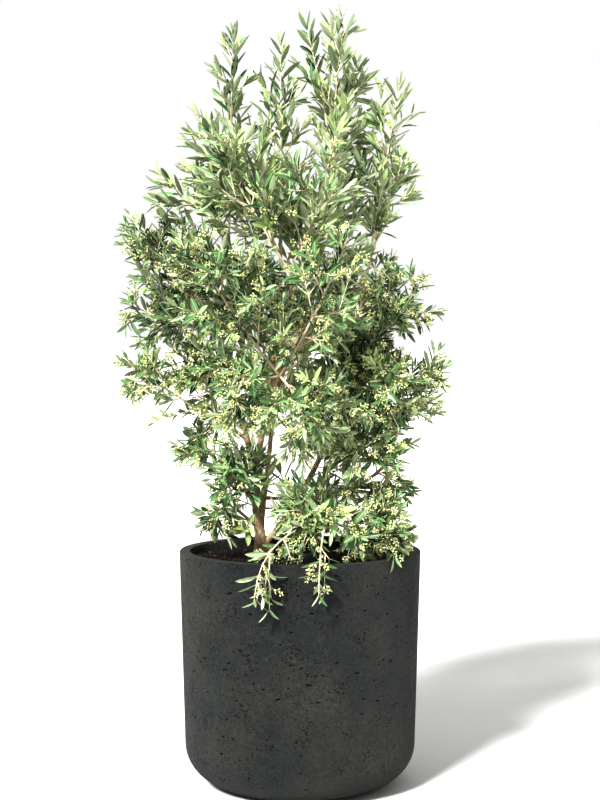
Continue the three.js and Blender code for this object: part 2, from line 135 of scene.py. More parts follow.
def seeded(seed):
    """Numbers from 0 to 1 that come out the same for the same seed (mulberry32)."""
    state = seed

    def draw():
        nonlocal state
        state = (state + 0x6D2B79F5) & 0xFFFFFFFF
        t = ((state ^ (state >> 15)) * (state | 1)) & 0xFFFFFFFF
        t ^= (t + (((t ^ (t >> 7)) * (t | 61)) & 0xFFFFFFFF)) & 0xFFFFFFFF
        return ((t ^ (t >> 14)) & 0xFFFFFFFF) / 4294967296

    return draw


def quarter(steps):
    """The angles of a quarter turn, in equal steps."""
    return [math.pi / 2 * i / steps for i in range(steps + 1)]


outside = [
    (foot_radius + curve_out * math.sin(t), curve_up * (1 - math.cos(t))) for t in quarter(14)
]
bottom_radius, bottom_height = outside[-1]
for i in range(1, side_rings + 1):
    share = i / side_rings
    radius = bottom_radius + (pot_radius - bottom_radius) * share
    outside.append((radius, bottom_height + (pot_top - lip_ease - bottom_height) * share))
lip = [
    (pot_radius - lip_ease * (1 - math.cos(t)), pot_top - lip_ease * (1 - math.sin(t)))
    for t in quarter(4)[1:]
]
inner_lip = pot_radius - lip_width
# Two points a hair above the rest keep the lip from being dead flat.
lip += [(pot_radius - 9, pot_top + 0.3), (inner_lip + 8, pot_top + 0.2)]
lip += [
    (
        inner_lip + lip_inner_ease * (1 - math.sin(t)),
        pot_top - lip_inner_ease * (1 - math.cos(t)),
    )
    for t in quarter(3)
]
inside = [(227, 470), (223.5, 300), (217, 88), (204, 56), (172, 34), (126, floor_thickness)]
profile = [(r * MM, z * MM) for r, z in outside + lip + inside]

# The wall is drawn up from the foot ring by ring, over the lip and down inside to the floor.
bpy.ops.mesh.primitive_circle_add(vertices=pot_sides, radius=profile[0][0])
pot = bpy.context.object
pot.name = "cement_pot"
bpy.ops.object.mode_set(mode="EDIT")
bpy.ops.mesh.select_all(action="SELECT")
bpy.ops.mesh.edge_face_add()
bpy.ops.mesh.select_mode(type="EDGE")
for (r0, z0), (r1, z1) in zip(profile, profile[1:]):
    if (r0, z0) == profile[0]:
        bpy.ops.mesh.extrude_edges_move(TRANSFORM_OT_translate={"value": (0, 0, z1 - z0)})
    else:
        bpy.ops.mesh.extrude_region_move(TRANSFORM_OT_translate={"value": (0, 0, z1 - z0)})
    bpy.ops.transform.resize(value=(r1 / r0, r1 / r0, 1), center_override=(0, 0, z1))
bpy.ops.mesh.edge_face_add()
bpy.ops.mesh.select_all(action="SELECT")
bpy.ops.mesh.normals_make_consistent(inside=False)
bpy.ops.object.mode_set(mode="OBJECT")


def side_radius(height):
    """The pot's outer radius at a height, both in millimetres."""
    heights = [z for _, z in outside]
    return float(np.interp(height, heights, [r for r, _ in outside]))


def rough_stone(seed, cuts, rough):
    """The points and faces of a lumpy little stone of about unit radius."""
    bpy.ops.mesh.primitive_ico_sphere_add(subdivisions=cuts, radius=1)
    stone = bpy.context.object
    for v in stone.data.vertices:
        v.co *= 1 + rough * noise.noise(v.co * 1.3 + Vector((seed * 7.1, 0, 0)))
    points = np.array([v.co for v in stone.data.vertices])
    faces = np.array([p.vertices for p in stone.data.polygons])
    bpy.data.objects.remove(stone)
    return points, faces


def scatter(shapes, turns):
    """Copies of small shapes as one set of points and faces, each turn being which shape it is,
    its 3x3 matrix and its spot."""
    points, faces, first = [], [], 0
    for which, matrix, spot in turns:
        shape, sides = shapes[which]
        points.append(shape @ np.asarray(matrix).T + spot)
        faces.append(sides + first)
        first += len(shape)
    return np.concatenate(points), np.concatenate(faces)


def mesh_piece(name, points, face_sets, finishes, choice=None, smooth=True):
    """A new object at the origin from arrays, in metres. Each set of faces is a table with a row
    of corners for each face, and choice gives each face's finish in the same order."""
    mesh = bpy.data.meshes.new(name)
    mesh.vertices.add(len(points))
    mesh.vertices.foreach_set("co", np.asarray(points, dtype=np.float32).ravel())
    corners = np.concatenate([faces.ravel() for faces in face_sets]).astype(np.int32)
    counts = np.concatenate([np.full(len(faces), faces.shape[1]) for faces in face_sets])
    mesh.loops.add(len(corners))
    mesh.loops.foreach_set("vertex_index", corners)
    mesh.polygons.add(len(counts))
    mesh.polygons.foreach_set("loop_start", (np.cumsum(counts) - counts).astype(np.int32))
    mesh.polygons.foreach_set("use_smooth", np.full(len(counts), smooth))
    for finish in finishes:
        mesh.materials.append(finish)
    if choice is not None:
        mesh.polygons.foreach_set("material_index", np.asarray(choice, dtype=np.int32))
    mesh.update(calc_edges=True)
    piece = bpy.data.objects.new(name, mesh)
    bpy.context.collection.objects.link(piece)
    return piece


def scale_of(size):
    """A pattern's scale, from the size of its features in millimetres."""
    return 1 / (size * MM)


# Washed cement, cast in a mould and rinsed while fresh: matte and mottled to the eye, charcoal
# with a warm grey bloom, rough with fine sand, and with the top of its lip painted paler, as
# painted light falling on it from above.
bloom_size, sand_lump_size, pinhole_gap, crowd_size = 143, 7.7, 5, 45.5
lime_width, lime_height, lip_bottom, lip_face = 38.5, 14.3, 484.5, 487.2
cement, shader = new_finish(
    "washed charcoal cement", "#373936", 0.66, IOR=1.5, Specular_IOR_Level=0.62
)
where = add_node(cement, "ShaderNodeTexCoord", {}).outputs["Object"]
# Blooms as broad as a hand, left where the cement dried at different speeds.
bloom = add_node(
    cement,
    "ShaderNodeTexNoise",
    {"Vector": where, "Scale": scale_of(bloom_size), "Detail": 5, "Roughness": 0.6},
)
bloomed = add_node(
    cement,
    "ShaderNodeMapRange",
    {"Value": bloom.outputs["Fac"], "From Min": 0.36, "From Max": 0.66},
)
tone = add_node(
    cement,
    "ShaderNodeMix",
    {0: bloomed.outputs[0], 6: linear("#393f40"), 7: linear("#55554e")},
    data_type="RGBA",
)
# Sand in the mix is 0.1 to 1 mm across, too fine to show. So the grain is drawn from lumps of
# nearly 8 mm, which its detail halves six times, down to real sand.
grain = add_node(
    cement,
    "ShaderNodeTexNoise",
    {"Vector": where, "Scale": scale_of(sand_lump_size), "Detail": 6, "Roughness": 0.9},
)
sand = add_node(
    cement,
    "ShaderNodeMapRange",
    {
        "Value": grain.outputs["Fac"],
        "From Min": 0.37,
        "From Max": 0.63,
        "To Min": 0.5,
        "To Max": 1.5,
    },
)
sanded = add_node(
    cement,
    "ShaderNodeVectorMath",
    {0: tone.outputs[2], 1: sand.outputs[0]},
    operation="MULTIPLY",
)
# Shallow pinholes, most of them 1 to 3 mm wide and half as high, up to 6 mm where they crowd. Real
# ones go down to a tenth of a millimetre, so these are drawn as coarse as they need to be to show.
flat = add_node(cement, "ShaderNodeMapping", {"Vector": where, "Scale": (0.7, 0.7, 1.3)})
cells = add_node(
    cement,
    "ShaderNodeTexVoronoi",
    {"Vector": flat.outputs[0], "Scale": scale_of(pinhole_gap)},
)
crowding = add_node(
    cement,
    "ShaderNodeTexNoise",
    {"Vector": where, "Scale": scale_of(crowd_size), "Detail": 3},
)
hole_reach = add_node(
    cement,
    "ShaderNodeMapRange",
    {
        "Value": crowding.outputs["Fac"],
        "From Min": 0.46,
        "From Max": 0.68,
        "To Min": 0.08,
        "To Max": 0.42,
    },
)
pinhole = add_node(
    cement,
    "ShaderNodeMath",
    {0: cells.outputs["Distance"], 1: hole_reach.outputs[0]},
    operation="LESS_THAN",
)
# Each pinhole is painted near black: painted shade for its hollow.
painted_pinhole_shade = add_node(
    cement,
    "ShaderNodeMix",
    {0: pinhole.outputs[0], 6: sanded.outputs[0], 7: linear("#0d0e0d")},
    data_type="RGBA",
)
# Pale smears of lime, wider than high.
smear = (scale_of(lime_width), scale_of(lime_width), scale_of(lime_height))
stretched = add_node(cement, "ShaderNodeMapping", {"Vector": where, "Scale": smear})
lime = add_node(
    cement,
    "ShaderNodeTexNoise",
    {"Vector": stretched.outputs[0], "Scale": 1, "Detail": 6, "Roughness": 0.75},
)
scuff = add_node(
    cement,
    "ShaderNodeMapRange",
    {"Value": lime.outputs["Fac"], "From Min": 0.62, "From Max": 0.76, "To Max": 0.55},
)
limed = add_node(
    cement,
    "ShaderNodeMix",
    {0: scuff.outputs[0], 6: painted_pinhole_shade.outputs[2], 7: linear("#6b6d67")},
    data_type="RGBA",
)
# The lip is told from the side by its height, and its top is painted paler: painted light
# falling on it from above.
level = add_node(cement, "ShaderNodeSeparateXYZ", {"Vector": where}).outputs["Z"]
painted_lip_light = add_node(
    cement,
    "ShaderNodeMapRange",
    {
        "Value": level,
        "From Min": lip_bottom * MM,
        "From Max": lip_face * MM,
        "To Max": 0.8,
    },
)
with_painted_lip_light = add_node(
    cement,
    "ShaderNodeMix",
    {0: painted_lip_light.outputs[0], 6: limed.outputs[2], 7: linear("#62655f")},
    data_type="RGBA",
)
cement.node_tree.links.new(with_painted_lip_light.outputs[2], shader.inputs["Base Color"])
# Sand stands out and pinholes sink in, by more than on real cement, so that both show.
sunk = add_node(
    cement,
    "ShaderNodeMath",
    {0: sand.outputs[0], 1: pinhole.outputs[0]},
    operation="SUBTRACT",
)
relief = add_node(
    cement,
    "ShaderNodeBump",
    {"Strength": 1.0, "Distance": 5 * MM, "Height": sunk.outputs[0]},
)
cement.node_tree.links.new(relief.outputs[0], shader.inputs["Normal"])
pot.data.materials.append(cement)

# Air pits: loose flocks that run aslant, more of them high on the side, and single ones between.
# Each is the hollow of a lumpy little stone. Pits keep clear of one another, so that they can all
# be cut at once.
flocks, lone_pits, stone_kinds = 150, 420, 6
flock_bottom, flock_rise, lone_bottom, lone_rise = 60, 390, 20, 455
lowest_pit, highest_pit, mean_radius = 12, 478, 245
draw = seeded(515)
pit_spots = []
for _ in range(flocks):
    bearing, height = draw() * 2 * math.pi, flock_bottom + flock_rise * math.sqrt(draw())
    slant, spread = (draw() - 0.5) * 0.8, 8 + 34 * draw()
    for _ in range(2 + int(8 * draw() ** 1.5)):
        run = (draw() + draw() - 1) * spread
        off = (draw() + draw() - 1) * 0.28 * spread
        turned = bearing + (run - off * slant) / mean_radius
        pit_spots.append((turned, height + run * slant + off))
for _ in range(lone_pits):
    pit_spots.append((draw() * 2 * math.pi, lone_bottom + lone_rise * draw()))
stones = []
for kind in range(stone_kinds):
    points, faces = rough_stone(kind, 2, 0.95)
    stones.append((points / np.linalg.norm(points, axis=1).max(), faces))
pit_turns, cut_so_far = [], []
for bearing, height in pit_spots:
    wide, long = 1.35 + 2.3 * draw() ** 2, 1.3 + 2 * draw() ** 1.4
    height = min(max(height, lowest_pit), highest_pit)
    out = np.array([math.cos(bearing), math.sin(bearing), 0])
    middle = out * (side_radius(height) - 0.3 * wide) + np.array([0, 0, height])
    reach = 0.85 * wide * long
    if any(np.linalg.norm(middle - m) < reach + r for m, r in cut_so_far):
        continue
    cut_so_far.append((middle, reach))
    tilt = (draw() - 0.5) * 1.1
    sideways = np.array([-out[1], out[0], 0])
    along = sideways * math.cos(tilt) + np.array([0, 0, 1]) * math.sin(tilt)
    over = np.cross(out, along)
    matrix = np.stack([along * wide * long, over * wide, out * wide * 1.3], axis=1)
    pit_turns.append((int(draw() * stone_kinds), matrix * MM, middle * MM))
pit_points, pit_faces = scatter(stones, pit_turns)
# Unwashed cement inside a pit: dull, and painted almost black as painted shade for the hollow.
pit_shade, _ = new_finish("shaded cement inside a pit", "#0b0c0b", 0.95)
pits = mesh_piece("pits", pit_points, [pit_faces], [pit_shade])
# The cut carries the painted shade onto the walls of the pits.
cut = pot.modifiers.new("open pits", "BOOLEAN")
cut.object, cut.operation, cut.solver = pits, "DIFFERENCE", "EXACT"
cut.material_mode = "TRANSFER"
bpy.context.view_layer.objects.active = pot
bpy.ops.object.modifier_apply(modifier=cut.name)
bpy.data.objects.remove(pits)
pot.select_set(True)
bpy.ops.object.shade_smooth_by_angle(angle=math.radians(32))
bpy.ops.object.select_all(action="DESELECT")

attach(pot, "root")
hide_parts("pot")

# ---- Soil ----------------------------------------------------------------------------------
# Moist, near-black potting soil, pressed in to a finger's width below the rim. Its top is
# loose: lumps, crumbs, reddish chips of bark and a few pale grains.
soil_top, soil_radius, soil_depth, grid_size = 469, 226.6, 48, 3.6
bpy.ops.mesh.primitive_cylinder_add(
    vertices=96,
    radius=soil_radius * MM,
    depth=soil_depth * MM,
    location=(0, 0, (soil_top - soil_depth / 2) * MM),
)
soil = bpy.context.object
soil.name = "potting_soil"
bpy.ops.object.transform_apply(location=True, rotation=False, scale=False)
fine = soil.modifiers.new("fine mesh", "REMESH")
fine.mode, fine.voxel_size = "VOXEL", grid_size * MM
bpy.ops.object.modifier_apply(modifier=fine.name)
# Only the top is loose, and within a centimetre of the wall it lies flatter.
top_skin, wall_ease = 2.5, 10
top_points = soil.vertex_groups.new(name="top")
for v in soil.data.vertices:
    if v.co.z > (soil_top - top_skin) * MM:
        from_wall = soil_radius * MM - math.hypot(v.co.x, v.co.y)
        looseness = min(1.0, from_wall / (wall_ease * MM) + 0.15)
        top_points.add([v.index], looseness, "REPLACE")
# Lumps 28 mm across that rise 10 mm, and crumbs of 7 mm on them that rise 5 mm.
for name, kind, size, rise in [("lumps", "CLOUDS", 28, 10), ("crumbs", "VORONOI", 7, 5)]:
    pattern = bpy.data.textures.new(name, kind)
    pattern.noise_scale = size * MM
    rough = soil.modifiers.new(name, "DISPLACE")
    rough.texture, rough.vertex_group, rough.texture_coords = pattern, "top", "LOCAL"
    rough.direction, rough.strength, rough.mid_level = "Z", rise * MM, 0.55
    bpy.ops.object.modifier_apply(modifier=rough.name)
soil.vertex_groups.clear()
for face in soil.data.polygons:
    face.use_smooth = True

# Moist potting soil, raked loose: dull near-black peat, with browner fibres a few millimetres long
# that show as a fine mottle.
fibre_size = 6.25
earth, shader = new_finish("moist potting soil", "#1c130e", 0.95)
where = add_node(earth, "ShaderNodeTexCoord", {}).outputs["Object"]
fibre = add_node(
    earth,
    "ShaderNodeTexNoise",
    {"Vector": where, "Scale": scale_of(fibre_size), "Detail": 4, "Roughness": 0.7},
)
damp = add_node(
    earth,
    "ShaderNodeMapRange",
    {"Value": fibre.outputs["Fac"], "From Min": 0.35, "From Max": 0.68},
)
brown = add_node(
    earth,
    "ShaderNodeMix",
    {0: damp.outputs[0], 6: linear("#0c0908"), 7: linear("#2b2019")},
    data_type="RGBA",
)
earth.node_tree.links.new(brown.outputs[2], shader.inputs["Base Color"])
relief = add_node(
    earth,
    "ShaderNodeBump",
    {"Strength": 0.8, "Distance": 1 * MM, "Height": damp.outputs[0]},
)
earth.node_tree.links.new(relief.outputs[0], shader.inputs["Normal"])
soil.data.materials.append(earth)

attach(soil, "root")
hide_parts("soil")

# Loose crumbs: most are dark peat, some are bark chips, a few are grit. Each lies where a drop from
# above meets the soil.
crumb_count, crumb_reach, drop_height, crumb_kinds = 2300, 222, 600, 3
peat, chip, grit = 0, 1, 2
draw = seeded(77)
crumb_turns, crumb_stuffs = [], []
surface = soil.evaluated_get(bpy.context.evaluated_depsgraph_get())
while len(crumb_turns) < crumb_count:
    x, y = (2 * draw() - 1) * crumb_reach, (2 * draw() - 1) * crumb_reach
    size = 0.7 + 2.2 * draw() ** 3
    if math.hypot(x, y) > crumb_reach:
        continue
    above = Vector((x * MM, y * MM, drop_height * MM))
    _, spot, _, _ = surface.ray_cast(above, Vector((0, 0, -1)))
    facing = Vector((draw() - 0.5, draw() - 0.5, draw() - 0.5))
    spin = np.array(facing.to_track_quat("Z", "Y").to_matrix())
    matrix = spin @ np.diag([size * (1 + draw()), size * 0.8, size * (0.35 + 0.5 * draw())])
    resting = np.array(spot) + (0, 0, 0.25 * size * MM)
    crumb_turns.append((int(draw() * crumb_kinds), matrix * MM, resting))
    stuffs = (peat, peat, peat, peat, chip, chip, grit) if size < 2 else (peat, chip)
    crumb_stuffs.append(stuffs[int(draw() * len(stuffs))])
crumb_shapes = [rough_stone(k + 9, 1, 1.1) for k in range(crumb_kinds)]
sides_each = len(crumb_shapes[0][1])
points, faces = scatter(crumb_shapes, crumb_turns)
# Peat crumbs are dry and almost black, composted bark chips are reddish brown and split smooth,
# and washed grit is pale and dusty, and shows as flecks on the dark soil.
dark_crumb, _ = new_finish("peat crumb", "#17100c", 0.95)
bark_chip, _ = new_finish("composted bark chip", "#46301f", 0.85)
pale_grain, _ = new_finish("pale grit grain", "#8a7a68", 0.8)
crumbs = mesh_piece(
    "soil_crumbs",
    points,
    [faces],
    [dark_crumb, bark_chip, pale_grain],
    np.repeat(crumb_stuffs, sides_each),
    smooth=False,
)

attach(crumbs, "root")

# ---- Trunk and boughs ----------------------------------------------------------------------
# Young olive wood with thin grey-brown bark, lightly fissured along its run. The trunk widens to
# its roots at the soil, and each bough grows out of its parent with a thickened collar.
tree_height, crown_reach = 1155, 400
up = np.array((0.0, 0.0, 1.0))
# Each bough: its name, the limb it leaves and at what share of that limb's way, its tip by bearing,
# reach and height, its radius at its root and tip, and how it bends.
boughs = [
    ("left_bough", "trunk", 0.97, (180, 0.41, 0.4), (7, 4), {"bow": 0.02}),
    ("centre_bough", "trunk", 0.99, (172, 0.1, 0.5), (7, 3.8), {"bow": -0.03, "along": 0.75}),
    ("right_bough", "trunk", 0.2, (353, 0.3, 0.36), (6.5, 4), {"bow": -0.05, "along": 0.7}),
    ("back_bough", "trunk", 0.35, (108, 0.39, 0.38), (6, 3.8), {"bow": -0.04, "along": 0.6}),
    ("front_bough", "centre_bough", 0.3, (253, 0.34, 0.33), (5, 3.4), {"bow": -0.02, "along": 0.6}),
    ("left_riser", "left_bough", 0.72, (176, 0.37, 0.58), (4.4, 3), {}),
    ("crown_bough", "centre_bough", 0.78, (0, 0.17, 0.68), (4.4, 3.2), {"bow": -0.02, "along": 0.7}),
    ("right_riser", "right_bough", 0.75, (8, 0.36, 0.53), (4.4, 3), {}),
    ("back_riser", "back_bough", 0.75, (75, 0.33, 0.53), (4.2, 3), {"along": 0.7}),
    ("front_riser", "front_bough", 0.7, (262, 0.27, 0.5), (4, 3), {}),
    ("far_right_bough", "right_bough", 0.25, (357, 0.45, 0.17), (4.2, 3), {"bow": -0.1, "along": 0.7}),
    ("left_arm", "left_bough", 0.22, (187, 0.56, 0.275), (3.6, 2.5), {"bow": 0.08}),
    ("lower_left_bough", "trunk", 0.8, (177, 0.4, 0.18), (3.4, 2.5), {"bow": 0.05}),
    ("low_left_bough", "trunk", 0.4, (190, 0.38, 0.1), (3.2, 2.4), {"bow": 0.1}),
    ("low_right_bough", "right_bough", 0.16, (300, 0.29, 0.08), (3.6, 2.8), {"bow": 0.06}),
    ("low_back_bough", "back_bough", 0.2, (78, 0.36, 0.09), (3.4, 2.5), {"bow": 0.06}),
]


def place(bearing, reach, height):
    """A place in the crown, by its bearing in degrees and shares of the reach and height."""
    turn = math.radians(bearing)
    out = np.array((math.cos(turn), math.sin(turn), 0)) * reach * crown_reach
    return out + up * (soil_top + height * tree_height)


def arc(start, tip, bow=0, along=0.5):
    """A limb's or shoot's way, as a function of the share gone. Bow lifts its middle, and along is
    the share of the way out at which that middle lies."""
    span = tip - start
    middle = start + span * (along, along, 0.5) + up * bow * np.linalg.norm(span)
    return lambda t: (1 - t) ** 2 * start + 2 * t * (1 - t) * middle + t * t * tip


def crooked(way, steps, crook, draw):
    """Points along a way, each but the first and last set off it, by up to the crook each way."""
    points = []
    for i in range(steps + 1):
        off = np.array((draw(), draw(), draw())) - 0.5
        points.append(way(i / steps) + off * (0 if i in (0, steps) else 2 * crook))
    return np.array(points)


def on_limb(points, share):
    """The place at a share of a limb's way."""
    spot = share * (len(points) - 1)
    i = min(int(spot), len(points) - 2)
    return points[i] + (points[i + 1] - points[i]) * (spot - i)


def run_of(points):
    """How far along its way each point lies."""
    return np.concatenate([[0], np.cumsum(np.linalg.norm(np.diff(points, axis=0), axis=1))])


def evenly(points, gap):
    """The same way with its points an equal gap apart."""
    run = run_of(points)
    at = np.linspace(0, run[-1], max(3, round(run[-1] / gap) + 1))
    return np.stack([np.interp(at, run, points[:, k]) for k in range(3)], axis=1)


def across(points):
    """Two directions square to the way at each point, which don't twist about it."""
    way = np.gradient(points, axis=0)
    way /= np.linalg.norm(way, axis=1)[:, None]
    side = np.cross(up if abs(way[0][2]) < 0.9 else (1.0, 0, 0), way[0])
    sides = []
    for w in way:
        side = side - w * side.dot(w)
        side /= np.linalg.norm(side)
        sides.append(side)
    return np.array(sides), np.cross(way, sides)


def tube(points, radii, corners, lift=0):
    """Points of a round tube, its four-cornered sides and its two end caps."""
    a, b = across(points)
    turn = np.arange(corners) * 2 * math.pi / corners
    out = a[:, None] * np.cos(turn)[:, None] + b[:, None] * np.sin(turn)[:, None]
    rings = points[:, None] + out * (np.asarray(radii)[:, None] + lift)[..., None]
    spot = np.arange(len(points) * corners).reshape(-1, corners)
    ahead = np.roll(spot, -1, axis=1)
    sides = np.stack([spot[:-1], ahead[:-1], ahead[1:], spot[1:]], axis=-1).reshape(-1, 4)
    return rings.reshape(-1, 3), sides, np.stack([spot[0][::-1], spot[-1]])


def bark_lift(run, radii, corners, seed):
    """How far bark stands out from its limb: slow lumps 14 mm long, ridges of about 5 mm, and
    furrows that are 3 mm apart and run 16 mm along it."""
    lift = np.zeros((len(run), corners))
    for i, (far, radius) in enumerate(zip(run, radii)):
        for j in range(corners):
            turn = 2 * math.pi * j / corners
            spot = Vector((math.cos(turn) * radius, math.sin(turn) * radius, far))
            lump = noise.noise(spot / 14 + Vector((seed, 0, 0)))
            furrow = abs(noise.noise(Vector((spot.x / 2.6, spot.y / 2.6, far / 16 + 9 * seed))))
            ridge = abs(noise.noise(Vector((spot.x / 5, spot.y / 5, far / 4 + 5 * seed))))
            sunk = 0.07 * radius * max(0, 1 - furrow / 0.16)
            lift[i][j] = radius * (0.13 * lump + 0.05 * ridge) - sunk
    return lift


def gather(parts):
    """Joins meshes into one. Each is its points and then its sets of faces, and all meshes have
    faces with the same corner counts in the same order."""
    first = np.cumsum([0] + [len(part[0]) for part in parts[:-1]])
    points = np.concatenate([part[0] for part in parts])
    sets = [
        np.concatenate([part[k] + start for part, start in zip(parts, first)])
        for k in range(1, len(parts[0]))
    ]
    return points, sets


# Limbs run through a few points set off a smooth curve, so that they are as crooked as real ones.
limbs = {}
draw = seeded(4100)
foot, fork, trunk_end_radius = place(169, 0.2, 0), place(174, 0.24, 0.165), 8.5
trunk_points = crooked(arc(foot, fork, 0.01, 0.75), 7, 1, draw)
limbs["trunk"] = (np.vstack([foot - up * 20, trunk_points]), trunk_end_radius)
for i, (name, parent, at, end, ends, bend) in enumerate(boughs):
    way = arc(on_limb(limbs[parent][0], at), place(*end), **bend)
    limbs[name] = (crooked(way, 5, 2.5, seeded(4101 + i)), ends[1])

trunk_corners, bough_corners, ring_gap, smoothings = 30, 18, 3, 40
foot_girth, taper, flare, in_soil, collar_length = 11, 2.8, 10, 9, 14
wood_parts = []
for i, (name, (points, end_radius)) in enumerate(limbs.items()):
    points = evenly(points, ring_gap)
    for _ in range(smoothings):
        points[1:-1] = points[1:-1] / 2 + (points[:-2] + points[2:]) / 4
    run = run_of(points)
    if name == "trunk":
        share = np.maximum(0, points[:, 2] - soil_top) / (fork[2] - soil_top)
        radii = foot_girth - taper * share + flare * np.exp(-10 * share)
        keep = points[:, 2] > soil_top - in_soil
        points, radii, run = points[keep], radii[keep], run[keep]
        turn = np.arange(trunk_corners) * 2 * math.pi / trunk_corners
        toes = 0.5 + 0.5 * np.cos(turn * 4 + 0.8) + 0.35 * np.cos(turn * 3)
        spread = 7 * np.exp(-14 * share[keep])[:, None] * toes
        lift = bark_lift(run, radii, trunk_corners, i) + spread
        wood_parts.append(tube(points, radii, trunk_corners, lift))
    else:
        start_radius = boughs[i - 1][4][0]
        radii = start_radius + (end_radius - start_radius) * run / run[-1]
        radii *= 1 + 0.5 * np.exp(-run / collar_length)
        lift = bark_lift(run, radii, bough_corners, i)
        wood_parts.append(tube(points, radii, bough_corners, lift))
trunk_rings, trunk_sides, trunk_ends = wood_parts[0]
limb_points, (limb_sides, limb_ends) = gather(wood_parts[1:])
first = len(trunk_rings)
wood = mesh_piece(
    "trunk_and_boughs",
    np.concatenate([trunk_rings, limb_points]) * MM,
    [trunk_sides, trunk_ends, limb_sides + first, limb_ends + first],
    [],
)

# Young olive bark, as it grew: matte and grey-brown, with buff patches 18 mm across and fine
# cracks between paler ridges. Real cracks are a few tenths of a millimetre wide, too fine to show,
# so they are drawn about 2 mm wide and three times as long.
patch_size, crack_width = 18.2, 1.92
bark, shader = new_finish("young olive bark", "#8b7f63", 0.85)
where = add_node(bark, "ShaderNodeTexCoord", {}).outputs["Object"]
drawn = add_node(bark, "ShaderNodeMapping", {"Vector": where, "Scale": (1, 1, 0.3)})
patches = add_node(
    bark,
    "ShaderNodeTexNoise",
    {"Vector": where, "Scale": scale_of(patch_size), "Detail": 4},
)
patch = add_node(
    bark,
    "ShaderNodeMapRange",
    {"Value": patches.outputs["Fac"], "From Min": 0.38, "From Max": 0.62},
)
cracks = add_node(
    bark,
    "ShaderNodeTexNoise",
    {
        "Vector": drawn.outputs[0],
        "Scale": scale_of(crack_width),
        "Detail": 5,
        "Roughness": 0.7,
    },
)
crack = add_node(
    bark,
    "ShaderNodeMapRange",
    {"Value": cracks.outputs["Fac"], "From Min": 0.32, "From Max": 0.54},
)
buff = add_node(
    bark,
    "ShaderNodeMix",
    {0: patch.outputs[0], 6: linear("#b0997a"), 7: linear("#dccbab")},
    data_type="RGBA",
)
cracked = add_node(
    bark,
    "ShaderNodeMix",
    {0: crack.outputs[0], 6: linear("#4f4431"), 7: buff.outputs[2]},
    data_type="RGBA",
)
bark.node_tree.links.new(cracked.outputs[2], shader.inputs["Base Color"])
relief = add_node(
    bark,
    "ShaderNodeBump",
    {"Strength": 0.6, "Distance": 0.6 * MM, "Height": crack.outputs[0]},
)
bark.node_tree.links.new(relief.outputs[0], shader.inputs["Normal"])
wood.data.materials.append(bark)

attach(wood, "root")
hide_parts(*limbs)

# ---- Twigs ---------------------------------------------------------------------------------
# Each mass of foliage grows from a limb along one leader, inside an egg-shaped space of its own.
# The leader bears opposite pairs of twigs, each pair square to the last, and these bear finer
# twigs in the same way. Pale buff shoots, greener and thinner towards their tips.

